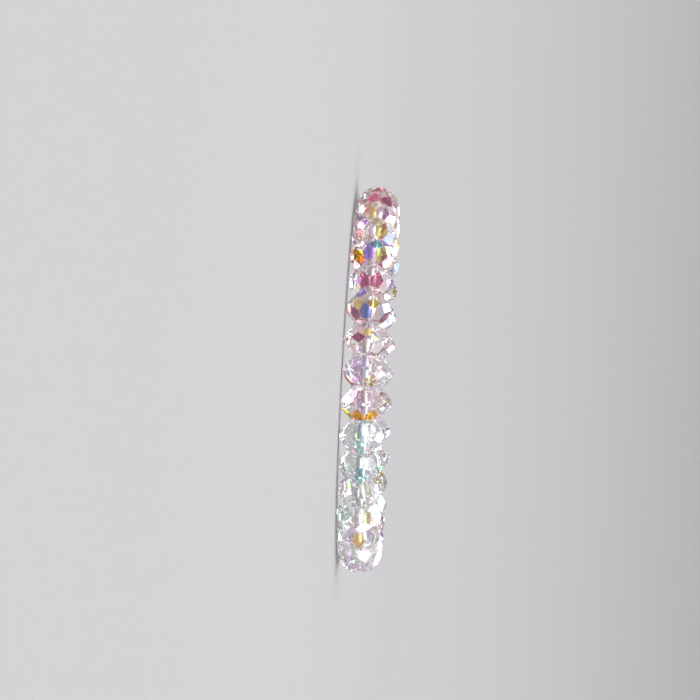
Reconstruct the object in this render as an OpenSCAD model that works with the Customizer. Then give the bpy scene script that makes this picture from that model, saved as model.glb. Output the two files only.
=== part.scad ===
// Beaded stretch bracelet: faceted rondelles strung on one closed loop of elastic thread.
// Millimetres, +Z up. The bracelet lies on its side, so the loop's axis is +Z.
// The origin is the centre of the loop, on the surface that the beads rest on.

/* [Bracelet] */
// Number of beads round the loop
bead_count = 35; // [26:1:42]
// Gap that is left between the closest edges of two neighbouring beads
seat_gap = 0.05; // [0.03:0.01:0.2]

/* [Bead] */
// Diameter across the points of the zigzag girdle
bead_d = 8; // [7.5:0.1:9]
// Length between the two flat ends
bead_l = 5.2; // [4.8:0.1:6]
// Flat end, across its flats
table_d = 4; // [3.2:0.1:4.2]
// Facets in each of the four rows
facet_count = 8; // [8:1:12]
// Height of the zigzag that runs round the girdle
zigzag_h = 0.8; // [0.7:0.05:1.2]
// Drilled hole for the thread
bore_d = 1.2; // [1.1:0.05:1.6]

/* [Elastic thread] */
// Diameter of the thread
thread_d = 0.8; // [0.5:0.05:0.8]

/* [Hang of the beads] */
// Largest swing of a bead to either side of its place, in degrees
swing_max = 1.2; // [0:0.1:1.5]

/* [Hidden] */
bead_nodes = [for (i = [1 : bead_count]) str("bead_", i < 10 ? "0" : "", i)];

// Sections of the bead. The end facets slope from the girdle's points to the flat
// end, the girdle facets from the points on one side to between those on the other.
// Where the two slopes meet, the bead has its shoulder corners.
bead_r = bead_d / 2;
end_z = bead_l / 2;
table_r = table_d / 2;
rise = zigzag_h / 2;
half_step = 180 / facet_count;
to_flat = cos(half_step);
table_corner_r = table_r / to_flat;
end_slope = (bead_r - table_r) / (end_z - rise);
girdle_slope = bead_r * (1 - to_flat) / zigzag_h;
end_r_mid = table_r + end_slope * end_z;
girdle_r_mid = bead_r * to_flat + girdle_slope * rise;
shoulder_z = (end_r_mid - girdle_r_mid * to_flat) / (end_slope - girdle_slope * to_flat);
shoulder_r = girdle_r_mid - girdle_slope * shoulder_z;

// Rings of corners: radius, height, and the share of a facet step by which it is turned
corner_rings = [
    [table_corner_r, end_z, 0.5],
    [shoulder_r, shoulder_z, 0.5],
    [bead_r, rise, 0],
    [bead_r, -rise, 0.5],
    [shoulder_r, -shoulder_z, 0],
    [table_corner_r, -end_z, 0],
];
upper_table = 0;
upper_shoulder = 1;
upper_girdle = 2;
lower_girdle = 3;
lower_shoulder = 4;
lower_table = 5;

// The loop is as tight as the inner edges of the flat ends allow.
bead_step = 360 / bead_count;
loop_r = (end_z + seat_gap / 2) / tan(bead_step / 2) + table_corner_r;
// The lowest girdle point of a bead that swings the most just meets the surface.
thread_z = bead_r * cos(swing_max) + rise * sin(swing_max);
// Half of the thread's bow inside a straight hole, so that it is centred on the hole
thread_bow = end_z * tan(bead_step / 4) / 2;
// The swing follows a sine whose step shows no period from bead to bead.
swing_step = 97;
// Turn of each bead about the thread, in degrees. A longer loop starts the list again.
bead_turns = [
    12, 31, 5, 38, 20, 43, 27,
    2, 35, 17, 9, 40, 24, 13,
    29, 1, 36, 8, 20, 14, 3,
    7, 12, 0, 14, 23, 0, 7,
    34, 31, 24, 38, 0, 22, 41,
];
// Length by which the drill passes each end of the bead
drill_over = 1;
curve_fn = 64;

// Colours, as red, green and blue
rose_glass = [0.95, 0.80, 0.87];
clear_glass = [0.90, 0.93, 0.97];
clear_elastic = [0.95, 0.95, 0.93];

function mix(a, b, share) = a + (b - a) * share;

function reversed(list) = [for (i = [len(list) - 1 : -1 : 0]) list[i]];

function corner(ring, k) =
    let (turn = (k + ring[2]) * 2 * half_step)
    [ring[0] * cos(turn), ring[0] * sin(turn), ring[1]];

function corner_number(ring, k) = ring * facet_count + (k + facet_count) % facet_count;

// A facet is a list of corner numbers, clockwise as seen from outside. Corner k of one
// ring lies between corners k + next - 1 and k + next of the ring beside it.
function table_facet(table) = [for (k = [0 : facet_count - 1]) corner_number(table, k)];

function end_facet(table, shoulder, girdle, next, k) = [
    corner_number(table, k + next),
    corner_number(table, k + next - 1),
    corner_number(shoulder, k + next - 1),
    corner_number(girdle, k),
    corner_number(shoulder, k + next),
];

function girdle_facet(top, side, bottom, next, k) = [
    corner_number(top, k),
    corner_number(side, k + next - 1),
    corner_number(bottom, k),
    corner_number(side, k + next),
];

around = [0 : facet_count - 1];
bead_corners = [for (ring = corner_rings) for (k = around) corner(ring, k)];
bead_facets = concat(
    [reversed(table_facet(upper_table))],
    [for (k = around) end_facet(upper_table, upper_shoulder, upper_girdle, 0, k)],
    [for (k = around) girdle_facet(upper_shoulder, upper_girdle, lower_girdle, 1, k)],
    [for (k = around) girdle_facet(upper_girdle, lower_girdle, lower_shoulder, 0, k)],
    [for (k = around) reversed(end_facet(lower_table, lower_shoulder, lower_girdle, 1, k))],
    [table_facet(lower_table)]
);

// One faceted rondelle with its drilled hole along Z, centred on the origin.
module rondelle() {
    difference() {
        polyhedron(points = bead_corners, faces = bead_facets);
        cylinder(d = bore_d, h = bead_l + 2 * drill_over, center = true, $fn = curve_fn);
    }
}

// Bead i in its place on the loop, with its hole along the thread. The glass is rosier
// on one side of the loop and clearer on the other.
module strung_bead(i) {
    place = i * bead_step;
    turn = bead_turns[i % len(bead_turns)];
    color(mix(rose_glass, clear_glass, (1 + cos(place)) / 2))
        rotate([0, 0, place])
            translate([loop_r, 0, thread_z])
                rotate([90 + swing_max * sin(i * swing_step), 0, 0])
                    rotate([0, 0, turn])
                        rondelle();
}

// The closed loop of clear elastic that runs through every bead.
module elastic_thread() {
    color(clear_elastic)
        translate([0, 0, thread_z])
            rotate_extrude($fn = 4 * curve_fn)
                translate([loop_r + thread_bow, 0])
                    circle(d = thread_d, $fn = curve_fn);
}

for (i = [0 : bead_count - 1])
    strung_bead(i);
elastic_thread();
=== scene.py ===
"""Beaded stretch bracelet: coated glass rondelles on a closed loop of clear elastic.

The scene is in metres, in the frame of the solids: the loop's axis is +Z, and the beads
rest on the surface at z = 0. The sizes of the part are in millimetres, as in its source,
and MM turns them into metres when a piece is built.
"""
import math
import random

import bmesh
import bpy
from mathutils import Matrix, Vector


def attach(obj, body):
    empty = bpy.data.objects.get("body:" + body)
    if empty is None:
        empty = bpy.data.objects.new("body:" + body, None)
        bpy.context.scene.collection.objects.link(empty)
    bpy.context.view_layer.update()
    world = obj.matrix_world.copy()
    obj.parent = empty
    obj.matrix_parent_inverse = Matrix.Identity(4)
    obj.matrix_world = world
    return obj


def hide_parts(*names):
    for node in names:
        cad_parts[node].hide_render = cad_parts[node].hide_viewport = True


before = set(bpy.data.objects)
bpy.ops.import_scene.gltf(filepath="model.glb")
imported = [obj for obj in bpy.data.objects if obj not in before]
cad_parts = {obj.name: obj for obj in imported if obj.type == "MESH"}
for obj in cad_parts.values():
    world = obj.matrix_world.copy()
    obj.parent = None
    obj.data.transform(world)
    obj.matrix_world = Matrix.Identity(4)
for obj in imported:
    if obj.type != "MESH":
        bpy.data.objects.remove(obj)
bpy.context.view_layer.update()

MM = 0.001
UP = Vector((0, 0, 1))

# ---------------------------------------------------------------- sizes of the source
BEAD_COUNT = 35
SEAT_GAP = 0.05
BEAD_R = 4.0
END_Z = 2.6
TABLE_R = 2.0
FACETS = 8
ZIGZAG_H = 0.8
BORE_R = 0.6
THREAD_R = 0.4
SWING_MAX = 1.2
SWING_STEP = 97
BEAD_TURNS = [
    12, 31, 5, 38, 20, 43, 27,
    2, 35, 17, 9, 40, 24, 13,
    29, 1, 36, 8, 20, 14, 3,
    7, 12, 0, 14, 23, 0, 7,
    34, 31, 24, 38, 0, 22, 41,
]

RISE = ZIGZAG_H / 2
HALF_STEP = math.pi / FACETS
TO_FLAT = math.cos(HALF_STEP)
TABLE_CORNER_R = TABLE_R / TO_FLAT
END_SLOPE = (BEAD_R - TABLE_R) / (END_Z - RISE)
GIRDLE_SLOPE = BEAD_R * (1 - TO_FLAT) / ZIGZAG_H
END_R_MID = TABLE_R + END_SLOPE * END_Z
GIRDLE_R_MID = BEAD_R * TO_FLAT + GIRDLE_SLOPE * RISE
SHOULDER_Z = (END_R_MID - GIRDLE_R_MID * TO_FLAT) / (END_SLOPE - GIRDLE_SLOPE * TO_FLAT)
SHOULDER_R = GIRDLE_R_MID - GIRDLE_SLOPE * SHOULDER_Z

BEAD_STEP = 2 * math.pi / BEAD_COUNT
LOOP_R = (END_Z + SEAT_GAP / 2) / math.tan(BEAD_STEP / 2) + TABLE_CORNER_R
SWING = math.radians(SWING_MAX)
THREAD_Z = BEAD_R * math.cos(SWING) + RISE * math.sin(SWING)
THREAD_BOW = END_Z * math.tan(BEAD_STEP / 4) / 2

# Rings of corners: radius, height, and the share of a facet step by which it is turned
CORNER_RINGS = [
    (TABLE_CORNER_R, END_Z, 0.5),
    (SHOULDER_R, SHOULDER_Z, 0.5),
    (BEAD_R, RISE, 0.0),
    (BEAD_R, -RISE, 0.5),
    (SHOULDER_R, -SHOULDER_Z, 0.0),
    (TABLE_CORNER_R, -END_Z, 0.0),
]

# ---------------------------------------------------------------- details of the pieces
EDGE_WIDTH = 0.10
BORE_SIDES = 32
BORE_CHAMFER = 0.14
THREAD_SIDES = 16
THREAD_RINGS_PER_BEAD = 12
# Share by which the thread is thinner inside a bead and thicker in a gap
THREAD_THINNING = 0.05

# ---------------------------------------------------------------- coatings and colours
# Thickness of the coating's film in nanometres, for each film slot of a bead
FILMS = [0, 60, 340, 430, 520]
FILM_IOR = 2.5
VIVID_SLOT = len(FILMS)
COOL_SLOT = VIVID_SLOT + 1
BORE_SLOT = VIVID_SLOT + 2
EDGE_SLOT = VIVID_SLOT + 3
# Films that go with a strong colour
VIVID_NM = 380
COOL_NM = 160
VIVID_IOR = 2.1
VIVID_METALLIC = 0.20

TINT_LAYER = "facet_tint"
CLEAR_TINTS = {
    "rose": (0.97, 0.76, 0.82),
    "lilac": (0.90, 0.80, 0.97),
    "peach": (0.99, 0.86, 0.76),
    "straw": (0.99, 0.95, 0.78),
    "ice": (0.86, 0.95, 0.99),
    "clear": (0.99, 0.98, 0.99),
}
VIVID_TINTS = {
    "amber": (1.00, 0.32, 0.00),
    "gold": (0.94, 0.62, 0.10),
    "olive": (0.60, 0.50, 0.04),
    "teal": (0.03, 0.40, 0.52),
    "cobalt": (0.15, 0.14, 0.75),
    "violet": (0.32, 0.11, 0.70),
    "plum": (0.22, 0.03, 0.06),
    "magenta": (0.50, 0.07, 0.12),
    "brown": (0.28, 0.09, 0.04),
    "moss": (0.66, 0.60, 0.22),
    "honey": (0.98, 0.88, 0.36),
    "raspberry": (0.82, 0.13, 0.20),
    "orchid": (0.50, 0.16, 1.00),
}
# Strong colours whose coating also reflects blue
COOL = ["cobalt", "violet", "orchid"]
# The strong colours that turn up by chance on facets that the main view doesn't show
SCATTERED = ["amber", "gold", "olive", "teal", "cobalt", "violet", "plum", "magenta",
             "brown", "moss", "honey"]

# The glass is rosy in some beads of the loop and clear in the others. A tint that stands
# in a list twice is chosen twice as often.
WARM_BEADS = range(14, 28)
ROSY = ["rose", "rose", "peach", "peach", "straw", "straw", "clear", "lilac"]
ROSY_END_FROM = 26
ROSY_END = ["rose", "lilac", "lilac", "lilac", "clear", "clear", "peach"]
CLEAR = ["ice", "clear", "clear", "clear", "lilac", "straw"]
CLEAR_START_FROM = 28
CLEAR_START = ["ice", "clear", "clear", "clear", "ice", "straw"]
# Share of the facets that get a strong colour by chance
WARM_VIVID_SHARE = 0.14
CLEAR_VIVID_SHARE = 0.08
QUIET_BEADS = range(25, 30)
QUIET_VIVID_SHARE = 0.02
# Beads whose coating lies on the inner side of the loop
COATED_INSIDE = range(25, 31)
# A facet has a film if it faces the coated side by more than this cosine. Per unit of the
# cosine, the film goes up by this many slots.
FILM_FROM = -0.1
FILM_STEPS = 3.6
# Facets that the main view shows: the beads, and degrees from the loop's outer side
SEEN_BEADS = range(18, 35)
SEEN_TURN = 85
FIRST_SEED = 1000

# Facets with a colour of their own, strong or pale: bead, row, turn from the outer side of
# the loop towards +Z in degrees, colour
ACCENTS = [
    (18, "lower_end", 0, "plum"),
    (19, "lower_end", -9, "raspberry"),
    (19, "lower_end", 36, "plum"),
    (20, "lower_end", -20, "gold"),
    (21, "lower_girdle", 7, "honey"),
    (21, "lower_girdle", -38, "violet"),
    (21, "lower_end", -15, "clear"),
    (21, "lower_end", 29, "olive"),
    (21, "lower_end", 74, "violet"),
    (22, "upper_girdle", 34, "violet"),
    (22, "lower_girdle", 12, "teal"),
    (22, "lower_end", -56, "amber"),
    (22, "lower_end", -11, "violet"),
    (22, "lower_end", 34, "olive"),
    (23, "lower_end", -22, "magenta"),
    (23, "lower_end", 22, "magenta"),
    (24, "upper_end", -31, "cobalt"),
    (24, "lower_girdle", -30, "honey"),
    (24, "lower_girdle", 14, "olive"),
    (24, "lower_girdle", 59, "orchid"),
    (24, "lower_end", -53, "orchid"),
    (24, "lower_end", -8, "cobalt"),
    (24, "lower_end", 37, "lilac"),
    (24, "lower_end", 82, "plum"),
    (25, "upper_girdle", 0, "gold"),
    (25, "upper_girdle", 45, "lilac"),
    (25, "lower_girdle", -22, "plum"),
    (25, "lower_girdle", 23, "clear"),
    (25, "lower_end", 0, "straw"),
    (25, "lower_end", 45, "lilac"),
    (25, "lower_end", 90, "plum"),
    (26, "lower_end", -67, "brown"),
    (26, "lower_end", 22, "moss"),
    (27, "lower_end", -60, "amber"),
    (27, "lower_end", -15, "amber"),
    (27, "lower_end", 30, "amber"),
    (28, "upper_end", -11, "ice"),
    (28, "upper_end", 34, "clear"),
    (28, "lower_end", -78, "plum"),
    (29, "upper_girdle", 8, "ice"),
    (30, "upper_end", 24, "straw"),
    (31, "upper_end", 38, "honey"),
    (32, "upper_end", 0, "gold"),
    (32, "upper_end", -45, "lilac"),
    (33, "upper_end", 22, "ice"),
]
# Coating that ran into the drilled hole, where it shows through the glass
BORE_TINTS = {
    26: (0.88, 0.88, 0.98),
    27: (0.84, 0.81, 0.96),
    28: (0.45, 0.86, 0.88),
    29: (0.28, 0.78, 0.80),
    30: (0.80, 0.92, 0.90),
}
PLAIN_BORE_TINT = (0.94, 0.93, 0.97)
EDGE_TINT = (1, 1, 1)


# ---------------------------------------------------------------- objects
def add_object(name, data):
    piece = bpy.data.objects.new(name, data)
    bpy.context.collection.objects.link(piece)
    return piece


def add_mesh(name, body, materials):
    """Turns a body into an object of this name, with a mesh of the same name."""
    mesh = bpy.data.meshes.new(name)
    body.to_mesh(mesh)
    body.free()
    for material in materials:
        mesh.materials.append(material)
    return add_object(name, mesh)


# ---------------------------------------------------------------- camera
def add_camera():
    """Edge-on view of the loop, rolled so that the loop stands upright in the frame."""
    distance = 0.600
    elevation = math.radians(1.4)
    lean = math.radians(3.0)
    picture_px = 700
    focal_px = 3282
    centre_px = (369, 380)

    centre = UP * (THREAD_Z * MM)
    ahead = Vector((0, math.cos(elevation), -math.sin(elevation)))
    side = Vector((0, math.sin(elevation), math.cos(elevation)))
    top = Vector((-1, 0, 0))
    right = math.cos(lean) * side + math.sin(lean) * top
    up = math.cos(lean) * top - math.sin(lean) * side

    data = bpy.data.cameras.new("camera")
    data.sensor_width = 36
    data.lens = data.sensor_width * focal_px / picture_px
    data.clip_start = 0.01
    data.clip_end = 20
    camera = add_object("camera", data)
    turn = Matrix((right, up, -ahead)).transposed()
    seen = Vector((centre_px[0] - picture_px / 2, picture_px / 2 - centre_px[1], -focal_px))
    aim = seen.rotation_difference(-UP).to_matrix()
    camera.matrix_world = Matrix.Translation(centre - distance * ahead) @ (turn @ aim).to_4x4()
    bpy.context.scene.camera = camera


# ---------------------------------------------------------------- nodes
def new_material(name):
    material = bpy.data.materials.new(name)
    material.use_nodes = True
    tree = material.node_tree
    tree.nodes.clear()
    output = tree.nodes.new("ShaderNodeOutputMaterial")
    shader = tree.nodes.new("ShaderNodeBsdfPrincipled")
    tree.links.new(shader.outputs["BSDF"], output.inputs["Surface"])
    return material, tree, shader


def noise(tree, scale, detail, roughness=0.5, distortion=0.0):
    place = tree.nodes.new("ShaderNodeTexCoord")
    texture = tree.nodes.new("ShaderNodeTexNoise")
    texture.inputs["Scale"].default_value = scale
    texture.inputs["Detail"].default_value = detail
    texture.inputs["Roughness"].default_value = roughness
    texture.inputs["Distortion"].default_value = distortion
    tree.links.new(place.outputs["Object"], texture.inputs["Vector"])
    return texture.outputs["Fac"]


def to_range(tree, value, low, high, from_low=0.3, from_high=0.7):
    """The value's usual range, stretched to another."""
    node = tree.nodes.new("ShaderNodeMapRange")
    node.inputs["From Min"].default_value = from_low
    node.inputs["From Max"].default_value = from_high
    node.inputs["To Min"].default_value = low
    node.inputs["To Max"].default_value = high
    tree.links.new(value, node.inputs["Value"])
    return node.outputs["Result"]


def to_colours(tree, value, *stops):
    """The colour between two stops, each with its value and its colour."""
    ramp = tree.nodes.new("ShaderNodeValToRGB")
    for element, (position, colour) in zip(ramp.color_ramp.elements, stops):
        element.position = position
        element.color = (*colour, 1)
    tree.links.new(value, ramp.inputs["Fac"])
    return ramp.outputs["Color"]


def facet_tint(tree):
    """The colour that the mesh carries for each facet."""
    tint = tree.nodes.new("ShaderNodeAttribute")
    tint.attribute_name = TINT_LAYER
    return tint.outputs["Color"]


def multiply(tree, first, second):
    shade = tree.nodes.new("ShaderNodeMix")
    shade.data_type = "RGBA"
    shade.blend_type = "MULTIPLY"
    factor, colour_a, colour_b = shade.inputs[0], shade.inputs[6], shade.inputs[7]
    factor.default_value = 1.0
    tree.links.new(first, colour_a)
    tree.links.new(second, colour_b)
    return shade.outputs[2]


def bump(tree, height, strength, distance, before=None):
    node = tree.nodes.new("ShaderNodeBump")
    node.inputs["Strength"].default_value = strength
    node.inputs["Distance"].default_value = distance
    tree.links.new(height, node.inputs["Height"])
    if before is not None:
        tree.links.new(before, node.inputs["Normal"])
    return node.outputs["Normal"]


# ---------------------------------------------------------------- materials
def glass_material(name, film_nm, film_ior, metallic=0.0):
    """Polished glass: tinted by the facet's own colour, faintly wavy, lightly handled."""
    material, tree, shader = new_material(name)
    shader.inputs["IOR"].default_value = 1.56
    shader.inputs["Transmission Weight"].default_value = 1.0
    shader.inputs["Metallic"].default_value = metallic
    shader.inputs["Thin Film Thickness"].default_value = film_nm
    shader.inputs["Thin Film IOR"].default_value = film_ior

    clouds = noise(tree, scale=900, detail=3, roughness=0.6, distortion=0.4)
    shade = to_colours(tree, clouds, (0.35, (0.90, 0.86, 0.92)), (0.62, (1, 1, 1)))
    tree.links.new(multiply(tree, facet_tint(tree), shade), shader.inputs["Base Color"])

    smears = noise(tree, scale=1400, detail=4, roughness=0.65, distortion=1.2)
    tree.links.new(to_range(tree, smears, 0.0, 0.05), shader.inputs["Roughness"])

    waves = noise(tree, scale=420, detail=1)
    polish = noise(tree, scale=2400, detail=2)
    wavy = bump(tree, waves, strength=0.25, distance=0.00006)
    polished = bump(tree, polish, strength=0.14, distance=0.00001, before=wavy)
    tree.links.new(polished, shader.inputs["Normal"])
    return material


def edge_material():
    """The narrow edges between the facets, slightly worn."""
    material, tree, shader = new_material("worn_edge")
    shader.inputs["IOR"].default_value = 1.56
    shader.inputs["Transmission Weight"].default_value = 1.0
    shader.inputs["Base Color"].default_value = (1.0, 0.97, 0.99, 1)
    wear = noise(tree, scale=3000, detail=3, roughness=0.6)
    tree.links.new(to_range(tree, wear, 0.10, 0.40), shader.inputs["Roughness"])
    tree.links.new(bump(tree, wear, strength=0.4, distance=0.00002), shader.inputs["Normal"])
    return material


def bore_material():
    """The ground wall of the drilled hole, frosted by the drill."""
    material, tree, shader = new_material("drilled_glass")
    shader.inputs["IOR"].default_value = 1.5
    shader.inputs["Transmission Weight"].default_value = 1.0
    tree.links.new(facet_tint(tree), shader.inputs["Base Color"])
    grit = noise(tree, scale=9000, detail=5, roughness=0.7)
    tree.links.new(to_range(tree, grit, 0.30, 0.50), shader.inputs["Roughness"])
    tree.links.new(bump(tree, grit, strength=0.5, distance=0.00003), shader.inputs["Normal"])
    return material


def thread_material():
    """Clear elastic, with faint milky streaks."""
    material, tree, shader = new_material("clear_elastic")
    shader.inputs["IOR"].default_value = 1.49
    shader.inputs["Transmission Weight"].default_value = 0.85
    streaks = noise(tree, scale=2600, detail=4, roughness=0.6, distortion=0.2)
    shade = to_colours(tree, streaks, (0.3, (0.90, 0.91, 0.93)), (0.7, (0.97, 0.97, 0.95)))
    tree.links.new(shade, shader.inputs["Base Color"])
    tree.links.new(to_range(tree, streaks, 0.25, 0.45), shader.inputs["Roughness"])
    tree.links.new(bump(tree, streaks, strength=0.3, distance=0.00002), shader.inputs["Normal"])
    return material


def backdrop_material():
    """A plain matt grey, with painted light: it is a little paler away from the middle, to make
    up for the light that falls off there.
    """
    material, tree, shader = new_material("pale_backdrop")
    place = tree.nodes.new("ShaderNodeTexCoord")
    nearness = tree.nodes.new("ShaderNodeTexGradient")
    nearness.gradient_type = "SPHERICAL"
    tree.links.new(place.outputs["Object"], nearness.inputs["Vector"])
    # Painted light: the grey gets paler outwards, where the lamps give less light, so the
    # backdrop looks evenly lit.
    shade = to_colours(tree, nearness.outputs["Fac"],
                       (0.30, (0.238, 0.234, 0.238)), (0.60, (0.225, 0.221, 0.225)))
    tree.links.new(shade, shader.inputs["Base Color"])
    shader.inputs["Roughness"].default_value = 0.9
    return material


def bead_materials():
    """The materials of a bead, in the order of its slots."""
    materials = [glass_material("glass_clear", FILMS[0], FILM_IOR)]
    for film_nm in FILMS[1:]:
        materials.append(glass_material(f"glass_film_{film_nm}", film_nm, FILM_IOR))
    materials.append(glass_material("glass_vivid", VIVID_NM, VIVID_IOR, VIVID_METALLIC))
    materials.append(glass_material("glass_vivid_cool", COOL_NM, VIVID_IOR, VIVID_METALLIC))
    return materials + [bore_material(), edge_material()]


# ---------------------------------------------------------------- form of a bead
def ring_corner(ring, k):
    radius, height, share = CORNER_RINGS[ring]
    turn = (k + share) * 2 * HALF_STEP
    return Vector((radius * math.cos(turn), radius * math.sin(turn), height))


def facet_list():
    """Each facet as its row, its number in the row and its corners."""
    def number(ring, k):
        return ring * FACETS + k % FACETS

    around = range(FACETS)
    facets = [("upper_table", 0, [number(0, k) for k in around])]
    for k in around:
        facets.append(("upper_end", k, [number(0, k), number(0, k - 1), number(1, k - 1),
                                        number(2, k), number(1, k)]))
    for k in around:
        facets.append(("upper_girdle", k, [number(1, k), number(2, k), number(3, k),
                                           number(2, k + 1)]))
    for k in around:
        facets.append(("lower_girdle", k, [number(2, k), number(3, k - 1), number(4, k),
                                           number(3, k)]))
    for k in around:
        facets.append(("lower_end", k, [number(5, k + 1), number(5, k), number(4, k),
                                        number(3, k), number(4, k + 1)]))
    facets.append(("lower_table", 0, [number(5, k) for k in reversed(around)]))
    return facets


def facet_normals():
    """Each facet as its row, its number in the row and its outward normal."""
    normals = []
    for row, k, loop in facet_list():
        points = [ring_corner(n // FACETS, n % FACETS) for n in loop]
        middle = sum(points, Vector()) / len(points)
        normal = Vector()
        for a, b in zip(points, points[1:] + points[:1]):
            normal += (a - middle).cross(b - middle)
        normal.normalize()
        if normal.dot(middle) < 0:
            normal.negate()
        normals.append((row, k, normal))
    return normals


def cut_rondelle():
    """The bare faceted body, with its edges broken and its hole drilled."""
    body = bmesh.new()
    corners = [body.verts.new(ring_corner(ring, k))
               for ring in range(len(CORNER_RINGS)) for k in range(FACETS)]
    for _, _, loop in facet_list():
        body.faces.new([corners[n] for n in loop])
    bmesh.ops.recalc_face_normals(body, faces=body.faces)
    bmesh.ops.bevel(body, geom=list(body.edges), offset=EDGE_WIDTH / 2, offset_type="OFFSET",
                    segments=1, profile=0.5, affect="EDGES")
    drill(body)
    face_outwards(body)
    put_in_order(body)
    return body


def put_in_order(body):
    """Gives the corners, edges and faces an order that is the same in every run."""
    digits = 6

    def sort(items, place):
        ordered = sorted(items, key=lambda item: tuple(round(x, digits) for x in place(item)))
        for number, item in enumerate(ordered):
            item.index = number
        items.sort()

    sort(body.verts, lambda vert: vert.co)
    sort(body.edges, lambda edge: edge.verts[0].co + edge.verts[1].co)
    sort(body.faces, lambda face: face.calc_center_median())


def drill(body):
    """Opens both tables and joins them with the drilled hole and its chamfers."""
    hole = []
    for side in (1, -1):
        table = max(body.faces, key=lambda face: side * face.calc_center_median().z)
        outline = list(table.verts)
        bmesh.ops.delete(body, geom=[table], context="FACES_ONLY")
        rim = add_ring(body, BORE_R + BORE_CHAMFER, side * END_Z)
        fill_between(body, outline, rim)
        hole.append(rim)
        hole.append(add_ring(body, BORE_R, side * (END_Z - BORE_CHAMFER)))
    upper_rim, upper_wall, lower_rim, lower_wall = hole
    join_rings(body, upper_rim, upper_wall)
    join_rings(body, upper_wall, lower_wall)
    join_rings(body, lower_wall, lower_rim)


def add_ring(body, radius, height):
    turns = [2 * math.pi * k / BORE_SIDES for k in range(BORE_SIDES)]
    return [body.verts.new((radius * math.cos(a), radius * math.sin(a), height)) for a in turns]


def join_rings(body, first, second):
    for k in range(len(first)):
        body.faces.new((first[k - 1], first[k], second[k], second[k - 1]))


def fill_between(body, outline, rim):
    """Fills a flat ring with triangles, always stepping on from the edge that lags."""
    def turn_of(vert):
        return math.atan2(vert.co.y, vert.co.x) % (2 * math.pi)

    def ring(verts):
        verts = sorted(verts, key=turn_of)
        turns = [turn_of(vert) for vert in verts]
        return verts + verts[:1], turns[1:] + [turns[0] + 2 * math.pi, math.inf]

    outer, outer_next = ring(outline)
    inner, inner_next = ring(rim)
    o = i = 0
    while o < len(outline) or i < len(rim):
        if outer_next[o] <= inner_next[i]:
            body.faces.new((outer[o], outer[o + 1], inner[i]))
            o += 1
        else:
            body.faces.new((outer[o], inner[i + 1], inner[i]))
            i += 1


def in_bore(face):
    """Whether a face belongs to the wall or the chamfers of the hole, not to a table."""
    middle = face.calc_center_median()
    reach, flat = BORE_R + 0.9 * BORE_CHAMFER, 0.99
    return math.hypot(middle.x, middle.y) < reach and abs(face.normal.z) < flat


def face_outwards(body):
    """Turns every face so that its normal points out of the glass."""
    body.normal_update()
    for face in body.faces:
        middle = face.calc_center_median()
        out = -Vector((middle.x, middle.y, 0)) if in_bore(face) else middle
        if face.normal.dot(out) < 0:
            face.normal_flip()
    body.normal_update()


def bead_place(i):
    """Where bead i sits, swings and turns on the loop."""
    swing = SWING * math.sin(math.radians(i * SWING_STEP))
    return (Matrix.Rotation(i * BEAD_STEP, 4, "Z")
            @ Matrix.Translation((LOOP_R, 0, THREAD_Z))
            @ Matrix.Rotation(math.pi / 2 + swing, 4, "X")
            @ Matrix.Rotation(math.radians(BEAD_TURNS[i]), 4, "Z"))


# ---------------------------------------------------------------- coating of a bead
def turn_from_outside(i, normal):
    """Degrees from the outer side of the loop, positive towards +Z."""
    turn = math.degrees(math.atan2(normal.y, normal.x)) + BEAD_TURNS[i]
    return (turn + 180) % 360 - 180


def vivid_coating(name):
    return (COOL_SLOT if name in COOL else VIVID_SLOT), VIVID_TINTS[name]


def usual_tints(i):
    """The tints that the glass of bead i is chosen from."""
    if i in WARM_BEADS:
        return ROSY_END if i >= ROSY_END_FROM else ROSY
    return CLEAR_START if i >= CLEAR_START_FROM else CLEAR


def vivid_share(i):
    if i in QUIET_BEADS:
        return QUIET_VIVID_SHARE
    return WARM_VIVID_SHARE if i in WARM_BEADS else CLEAR_VIVID_SHARE


def coated_side(i, rng):
    """The direction from which bead i was coated, in the bead's own axes."""
    side = Vector((rng.uniform(-1, 1), rng.uniform(-1, 1), rng.uniform(-1, 1))).normalized()
    if i in COATED_INSIDE:
        inwards = math.radians(180 - BEAD_TURNS[i])
        lean = 0.3 * side.z
        side = Vector((math.cos(inwards), math.sin(inwards), lean)).normalized()
    return side


def film_slot(facing):
    if facing <= FILM_FROM:
        return 0
    return min(len(FILMS) - 1, 1 + int((facing - FILM_FROM) * FILM_STEPS))


def choose_coatings(i, normals):
    """The slot and the tint of every facet of bead i."""
    rng = random.Random(FIRST_SEED + i)
    side = coated_side(i, rng)
    chosen = {}
    for row, k, normal in normals:
        slot, tint = film_slot(normal.dot(side)), CLEAR_TINTS[rng.choice(usual_tints(i))]
        lucky = rng.random() < vivid_share(i) and "table" not in row
        name = rng.choice(SCATTERED)
        seen = i in SEEN_BEADS and abs(turn_from_outside(i, normal)) < SEEN_TURN
        if lucky and not seen:
            slot, tint = vivid_coating(name)
        chosen[(row, k)] = (slot, tint)
    for bead, row, turn, name in ACCENTS:
        if bead != i:
            continue
        facets = [entry for entry in normals if entry[0] == row]
        _, k, _ = min(facets, key=lambda entry: abs(turn_from_outside(i, entry[2]) - turn))
        if name in VIVID_TINTS:
            chosen[(row, k)] = vivid_coating(name)
        else:
            slot, _ = chosen[(row, k)]
            chosen[(row, k)] = (slot, CLEAR_TINTS[name])
    return chosen


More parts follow.
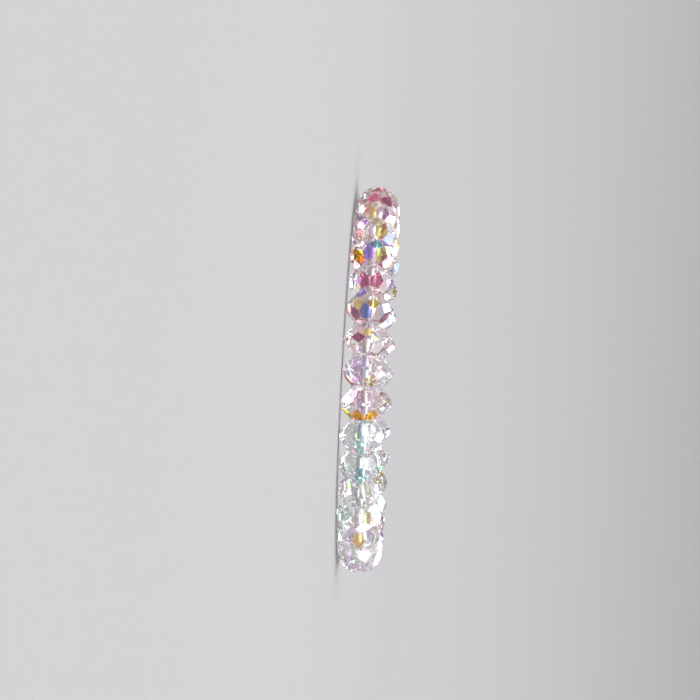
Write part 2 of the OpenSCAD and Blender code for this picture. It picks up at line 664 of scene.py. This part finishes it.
def paint_bead(body, i):
    """Gives every facet its coating and its tint."""
    same_facet = 0.9995
    normals = facet_normals()
    chosen = choose_coatings(i, normals)
    layer = body.loops.layers.float_color.new(TINT_LAYER)
    for face in body.faces:
        slot, tint = EDGE_SLOT, EDGE_TINT
        if in_bore(face):
            slot, tint = BORE_SLOT, BORE_TINTS.get(i, PLAIN_BORE_TINT)
            face.smooth = True
        else:
            row, k, normal = max(normals, key=lambda entry: entry[2].dot(face.normal))
            if normal.dot(face.normal) > same_facet:
                slot, tint = chosen[(row, k)]
        face.material_index = slot
        for loop in face.loops:
            loop[layer] = (*tint, 1)


def add_bead(i, materials):
    body = cut_rondelle()
    paint_bead(body, i)
    bmesh.ops.transform(body, matrix=Matrix.Scale(MM, 4) @ bead_place(i), verts=body.verts)
    node = f"bead_{i + 1:02d}"
    piece = add_mesh(node + "_glass", body, materials)
    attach(piece, "root")
    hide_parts(node)


# ---------------------------------------------------------------- elastic
def add_thread():
    """One closed loop. It is a little thinner where it runs through a bead."""
    body = bmesh.new()
    rings = []
    stations = BEAD_COUNT * THREAD_RINGS_PER_BEAD
    for s in range(stations):
        turn = 2 * math.pi * s / stations
        out = Vector((math.cos(turn), math.sin(turn), 0))
        centre = out * (LOOP_R + THREAD_BOW) + UP * THREAD_Z
        radius = THREAD_R * (1 - THREAD_THINNING * math.cos(BEAD_COUNT * turn))
        ring = []
        for k in range(THREAD_SIDES):
            a = 2 * math.pi * k / THREAD_SIDES
            point = centre + radius * (math.cos(a) * out + math.sin(a) * UP)
            ring.append(body.verts.new(point * MM))
        rings.append(ring)
    for s in range(stations):
        join_smoothly(body, rings[s], rings[(s + 1) % stations])
    bmesh.ops.recalc_face_normals(body, faces=body.faces)
    piece = add_mesh("elastic_loop", body, [thread_material()])
    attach(piece, "root")
    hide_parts("elastic_thread")


def join_smoothly(body, ring, ahead):
    for k in range(len(ring)):
        after = (k + 1) % len(ring)
        face = body.faces.new((ring[k], ahead[k], ahead[after], ring[after]))
        face.smooth = True


# ---------------------------------------------------------------- studio
def add_studio():
    """A pale floor that curves up into a wall all round, beyond every camera."""
    floor_r, floor_steps = 0.45, 8
    bend_r, bend_steps = 3.0, 32
    wall_h = 0.45
    sides = 96
    profile = [(floor_r * step / floor_steps, 0.0) for step in range(1, floor_steps + 1)]
    full_bend = math.acos(1 - wall_h / bend_r)
    for step in range(1, bend_steps + 1):
        a = full_bend * step / bend_steps
        profile.append((floor_r + bend_r * math.sin(a), bend_r * (1 - math.cos(a))))
    body = bmesh.new()
    previous = None
    for radius, height in profile:
        ring = [body.verts.new((radius * math.cos(2 * math.pi * k / sides),
                                radius * math.sin(2 * math.pi * k / sides), height))
                for k in range(sides)]
        if previous is None:
            body.faces.new(ring)
        else:
            join_smoothly(body, previous, ring)
        previous = ring
    add_mesh("studio_floor", body, [backdrop_material()])


def add_light(name, place, target, size, radiance):
    """A rectangular lamp with a given brightness of its surface."""
    data = bpy.data.lights.new(name, "AREA")
    data.shape = "RECTANGLE"
    data.size, data.size_y = size
    data.energy = radiance * math.pi * size[0] * size[1]
    light = add_object(name, data)
    light.location = place
    light.rotation_euler = (Vector(target) - Vector(place)).to_track_quat("-Z", "Y").to_euler()


def from_centre(azimuth, elevation, distance):
    """A place given by its degrees left or right of the front and above the floor."""
    turn, rise = math.radians(azimuth), math.radians(elevation)
    return Vector((math.sin(turn) * math.cos(rise), -math.cos(turn) * math.cos(rise),
                   math.sin(rise))) * distance


def add_lights():
    """Soft strips above, in front and at the sides, and small lamps that give glints."""
    centre = (0, 0, 0.004)
    away = 1.4
    overheads, spacing = 6, 0.36
    for k in range(overheads):
        place = (spacing * (k - (overheads - 1) / 2), 0.1, 1.6)
        add_light(f"overhead_{k}", place, centre, (0.25, 1.6), 3.2)
    for k, elevation in enumerate((8, 20, 28.5, 53)):
        add_light(f"front_{k}", from_centre(0, elevation, away), centre, (1.1, 0.09), 5.5)
    for k in range(3):
        for name, x in (("left", -1.2), ("right", 1.2)):
            place = (x, 0.55 * (k - 1) - 0.2, 0.55)
            add_light(f"{name}_{k}", place, centre, (0.12, 0.5), 8.0)
    add_light("left_high", from_centre(-49, 42, away), centre, (0.5, 0.22), 5.0)
    add_light("back", (0.1, 1.1, 1.0), centre, (1.0, 0.3), 6.0)
    add_light("glint_front", from_centre(24, 41, away), centre, (0.1, 0.1), 10.0)
    add_light("glint_left", from_centre(-68.7, 39.6, away), centre, (0.12, 0.05), 10.0)
    add_light("glint_high", (0.3, -0.5, 1.3), centre, (0.2, 0.2), 14.0)
    for k in range(4):
        turn = math.pi / 4 + math.pi / 2 * k
        out = Vector((math.cos(turn), math.sin(turn), 0))
        add_light(f"wall_{k}", 0.5 * out + 1.5 * UP, 2.0 * out + 0.5 * UP, (0.6, 0.6), 15.0)


def add_air():
    """The even light that comes from all round."""
    world = bpy.data.worlds.new("studio_air")
    bpy.context.scene.world = world
    world.use_nodes = True
    sky = world.node_tree.nodes["Background"]
    sky.inputs["Color"].default_value = (0.53, 0.52, 0.54, 1)
    sky.inputs["Strength"].default_value = 1.0


def set_look():
    """Plain colours, and enough bounces for light to pass through several beads."""
    scene = bpy.context.scene
    scene.view_settings.view_transform = "Standard"
    scene.view_settings.look = "None"
    scene.view_settings.exposure = 0
    scene.cycles.max_bounces = 24
    scene.cycles.transmission_bounces = 20
    scene.cycles.glossy_bounces = 12
    scene.cycles.use_denoising = True


add_camera()
add_studio()
add_lights()
add_air()
set_look()
glass = bead_materials()
for number in range(BEAD_COUNT):
    add_bead(number, glass)
add_thread()
